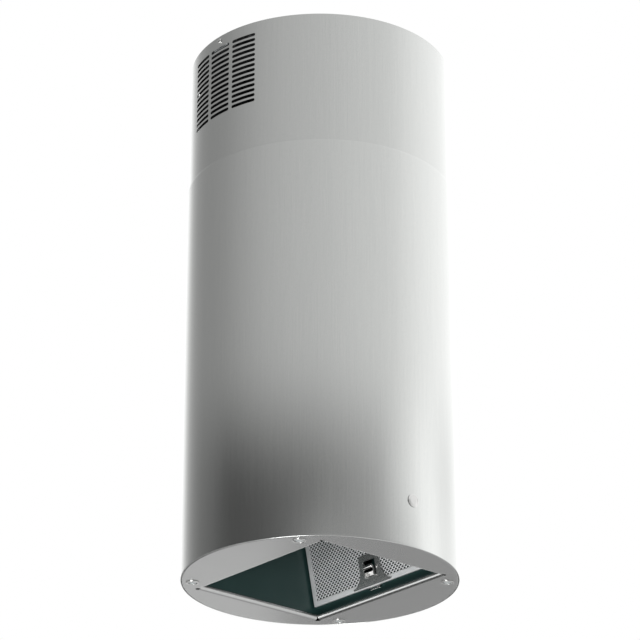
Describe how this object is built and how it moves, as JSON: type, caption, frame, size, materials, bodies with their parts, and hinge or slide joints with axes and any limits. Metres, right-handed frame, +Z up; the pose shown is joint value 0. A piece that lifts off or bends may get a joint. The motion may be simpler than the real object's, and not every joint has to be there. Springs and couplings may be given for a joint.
{
  "type": "island range hood",
  "caption": "Cylindrical island range hood in brushed steel that hangs from the ceiling on a telescopic frame, with side grilles, a blower and steep grease filters in its round underside.",
  "frame": {"origin": "centre of the ceiling plate's top face, where the hood meets the ceiling", "axes": "+Z up, -Y towards the front with the badge, -X towards the left grille"},
  "size_m": [0.381, 0.3811, 0.7814],
  "materials": {
    "brushed_steel": "vertically brushed stainless steel, satin",
    "plate_steel": "fine brushed stainless steel, satin",
    "dark_sheet": "dark semi-gloss paint",
    "galvanised_steel": "galvanised sheet, dull",
    "polished_steel": "polished",
    "aluminium": "bare aluminium, satin",
    "black_plastic": "moulded, fine grain",
    "grey_plastic": "moulded, fine grain",
    "board_green": "lacquered circuit board",
    "cable_black": "cable sheath",
    "lamp_lens": "frosted lamp cover"
  },
  "bodies": {
    "ceiling_part": {"ceiling_plate": "galvanised_steel", "upper_chimney": "brushed_steel", "chimney_screw_left": "polished_steel", "chimney_screw_right": "polished_steel", "air_deflector": "black_plastic", "deflector_collar": "black_plastic", "flexible_duct": "aluminium", "upper_rail_1": "galvanised_steel", "upper_rail_2": "galvanised_steel", "upper_rail_3": "galvanised_steel", "upper_rail_4": "galvanised_steel"},
    "hood": {"lower_chimney": "brushed_steel", "bottom_plate": "plate_steel", "hood_body": "dark_sheet", "recess_cap": "dark_sheet", "tube_ring": "galvanised_steel", "badge": "polished_steel", "blower_housing_front": "grey_plastic", "blower_housing_back": "grey_plastic", "motor": "galvanised_steel", "motor_bracket": "galvanised_steel", "outlet_spigot": "black_plastic", "electronics_box": "black_plastic", "electronics_cover": "black_plastic", "circuit_board": "board_green", "cable_gland": "grey_plastic", "motor_cable": "cable_black", "lower_rail_1": "galvanised_steel", "lower_rail_2": "galvanised_steel", "lower_rail_3": "galvanised_steel", "lower_rail_4": "galvanised_steel", "rail_screw_1": "polished_steel", "rail_screw_2": "polished_steel", "rail_screw_3": "polished_steel", "rail_screw_4": "polished_steel", "lamp_body_1": "polished_steel", "lamp_body_2": "polished_steel", "lamp_body_3": "polished_steel", "lamp_body_4": "polished_steel", "lamp_lens_1": "lamp_lens", "lamp_lens_2": "lamp_lens", "lamp_lens_3": "lamp_lens", "lamp_lens_4": "lamp_lens", "lamp_cable_1": "cable_black", "lamp_cable_2": "cable_black", "lamp_cable_3": "cable_black", "lamp_cable_4": "cable_black"},
    "impeller": {"impeller": "black_plastic"},
    "damper_left": {"damper_left": "grey_plastic"},
    "damper_right": {"damper_right": "grey_plastic"},
    "filter_left": {"filter_frame_left": "aluminium", "filter_panel_left": "aluminium", "filter_mesh_left": "aluminium", "filter_handle_left": "plate_steel"},
    "latch_left": {"filter_latch_left": "polished_steel"},
    "filter_right": {"filter_frame_right": "aluminium", "filter_panel_right": "aluminium", "filter_mesh_right": "aluminium", "filter_handle_right": "plate_steel"},
    "latch_right": {"filter_latch_right": "polished_steel"}
  },
  "joints": [
    {"name": "height_slide", "type": "slide", "parent": "ceiling_part", "child": "hood", "axis": [0, 0, -1], "range_m": [0, 0.2], "deforming": ["flexible_duct"]},
    {"name": "impeller_spin", "type": "hinge", "parent": "hood", "child": "impeller", "pos_m": [-0.02, 0, -0.362], "axis": [0, 1, 0], "continuous": true},
    {"name": "damper_right_hinge", "type": "hinge", "parent": "hood", "child": "damper_right", "pos_m": [0.032, 0, -0.195], "axis": [0, -1, 0], "range_deg": [0, 75]},
    {"name": "damper_left_hinge", "type": "hinge", "parent": "hood", "child": "damper_left", "pos_m": [0.024, 0, -0.195], "axis": [0, 1, 0], "range_deg": [0, 75]},
    {"name": "filter_right_hinge", "type": "hinge", "parent": "hood", "child": "filter_right", "pos_m": [0.04918, 0, -0.50656], "axis": [0, 1, 0], "range_deg": [0, 16]},
    {"name": "latch_right_slide", "type": "slide", "parent": "filter_right", "child": "latch_right", "axis": [-0.1994, 0, 0.9799], "range_m": [0, 0.006], "stiffness_N_per_m": 400, "springref_m": -0.004},
    {"name": "filter_left_hinge", "type": "hinge", "parent": "hood", "child": "filter_left", "pos_m": [-0.04918, 0, -0.50656], "axis": [0, -1, 0], "range_deg": [0, 16]},
    {"name": "latch_left_slide", "type": "slide", "parent": "filter_left", "child": "latch_left", "axis": [0.1994, 0, 0.9799], "range_m": [0, 0.006], "stiffness_N_per_m": 400, "springref_m": -0.004}
  ]
}
